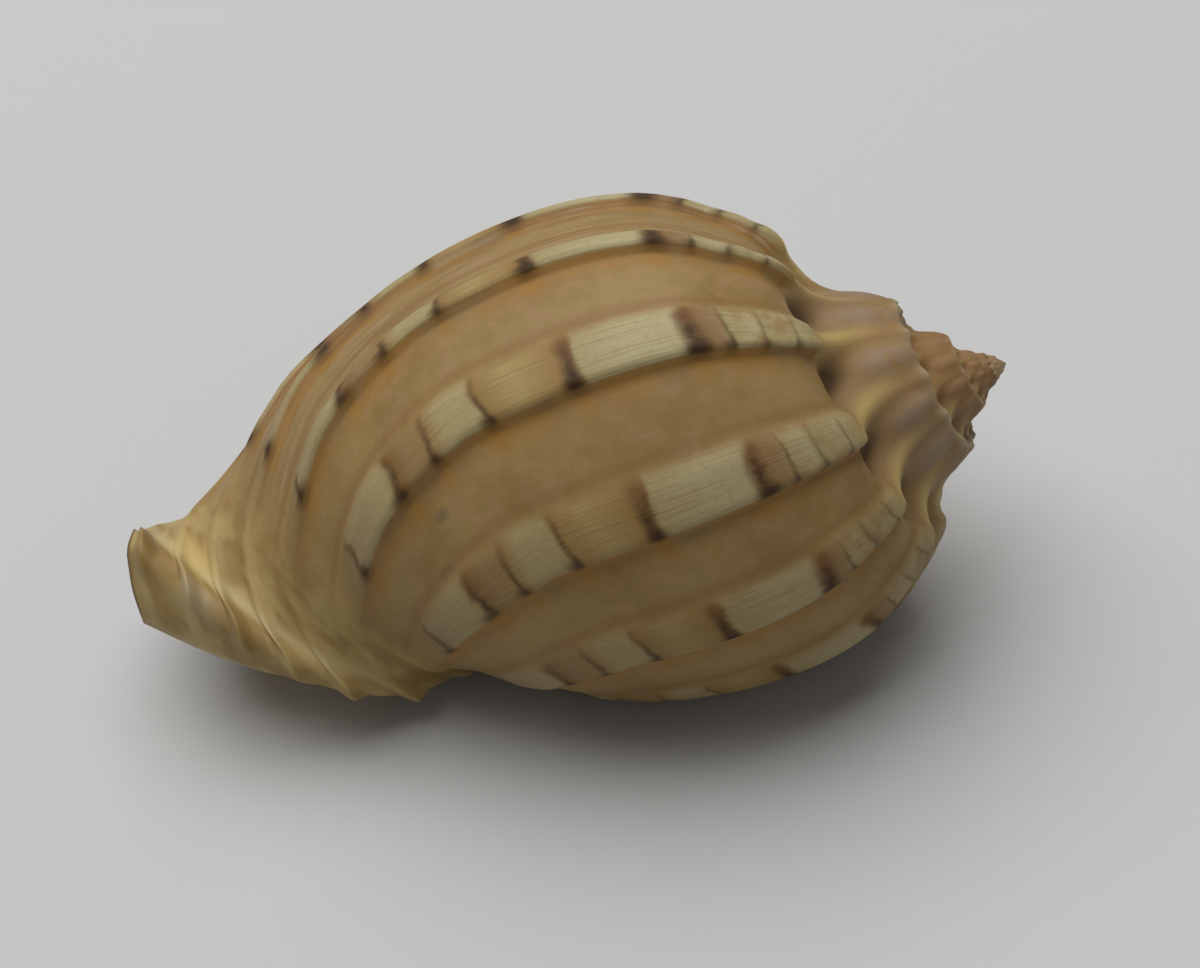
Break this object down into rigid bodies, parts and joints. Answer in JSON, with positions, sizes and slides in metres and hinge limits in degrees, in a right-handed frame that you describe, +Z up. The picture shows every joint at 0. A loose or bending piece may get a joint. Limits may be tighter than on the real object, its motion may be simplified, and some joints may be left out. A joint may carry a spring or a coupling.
{
  "type": "articulate harp seashell",
  "caption": "Harp-shaped sea snail shell with raised axial ribs, a low spined spire, a wide aperture underneath and a notched canal end, resting on its lip and belly.",
  "frame": {"origin": "middle of the bounding box's base, on the surface the shell rests on", "axes": "+X along the shell's length to the apex of the spire; +Z up; the aperture faces down"},
  "size_m": [0.086, 0.0564, 0.0441],
  "materials": {
    "shell_porcelain": "tan and cream shell with brown bars, worn semi-gloss"
  },
  "bodies": {
    "root": {"shell": "shell_porcelain"}
  },
  "joints": []
}
